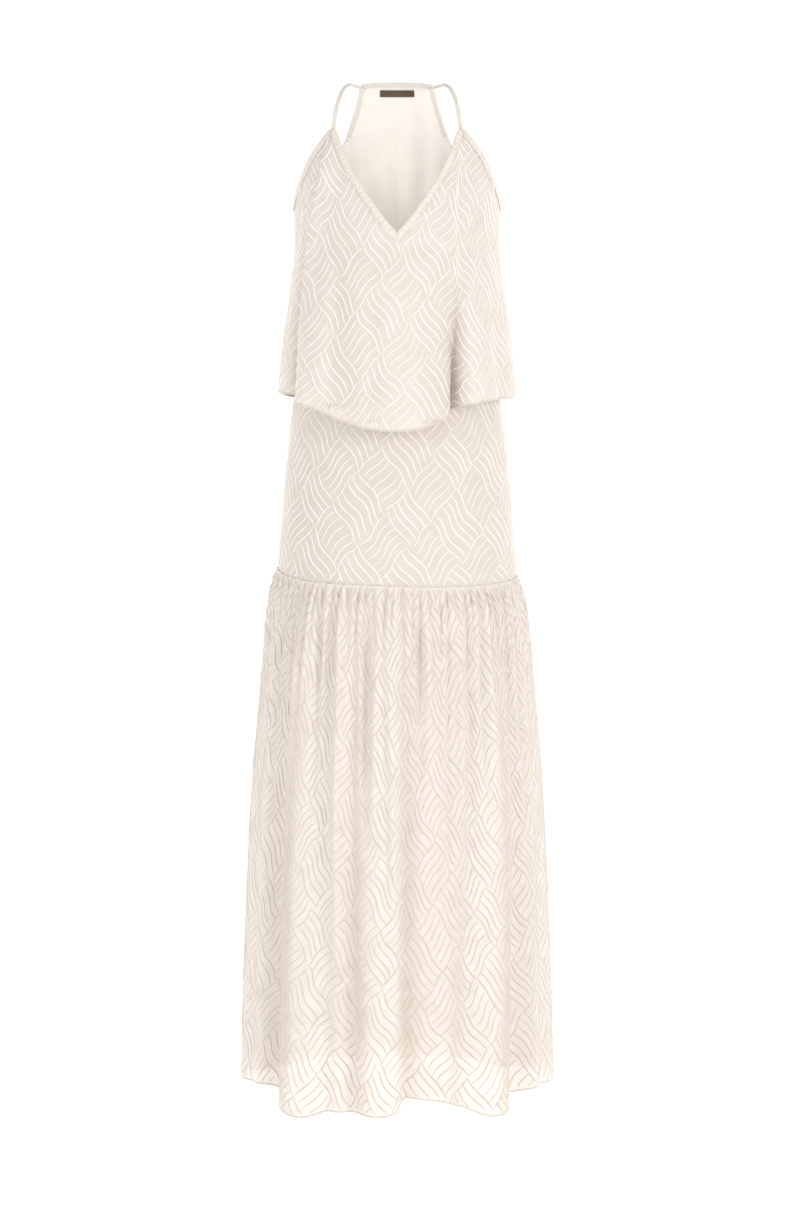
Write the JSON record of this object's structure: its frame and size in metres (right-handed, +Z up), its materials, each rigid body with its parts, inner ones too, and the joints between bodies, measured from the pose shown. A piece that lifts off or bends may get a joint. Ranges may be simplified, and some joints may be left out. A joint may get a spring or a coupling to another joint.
{
  "type": "maxi dress",
  "caption": "Sleeveless maxi dress with a V neck, thin straps, a popover bodice, a fitted hip yoke and a long gathered skirt over a slip, worn form with nobody in it.",
  "frame": {"origin": "midway between the two shoulder points, at the height where the straps pass over the wearer's shoulders", "axes": "+Z up, the front faces -Y, +X is at the right of someone who looks at the front"},
  "size_m": [0.4431, 0.3759, 1.423],
  "materials": {
    "organza": "sheer matt organza with raised wavy lines in a woven layout",
    "organza_lined": "the same organza mounted on a plain opaque lining",
    "lining": "plain smooth opaque lining with a soft sheen",
    "binding": "plain folded binding, matt, topstitched",
    "label": "bare dark brown woven tape"
  },
  "bodies": {
    "root": {"popover_front": "organza", "popover_back": "organza", "lining_front": "lining", "lining_back_left": "lining", "lining_back_right": "lining", "yoke_front": "organza_lined", "yoke_back": "organza_lined", "skirt_front": "organza", "skirt_back": "organza", "slip_front": "lining", "slip_back": "lining", "neck_binding_left": "binding", "neck_binding_right": "binding", "armhole_binding_left": "binding", "armhole_binding_right": "binding", "nape_casing": "lining", "strap_left": "binding", "strap_right": "binding", "label": "label"}
  },
  "joints": []
}
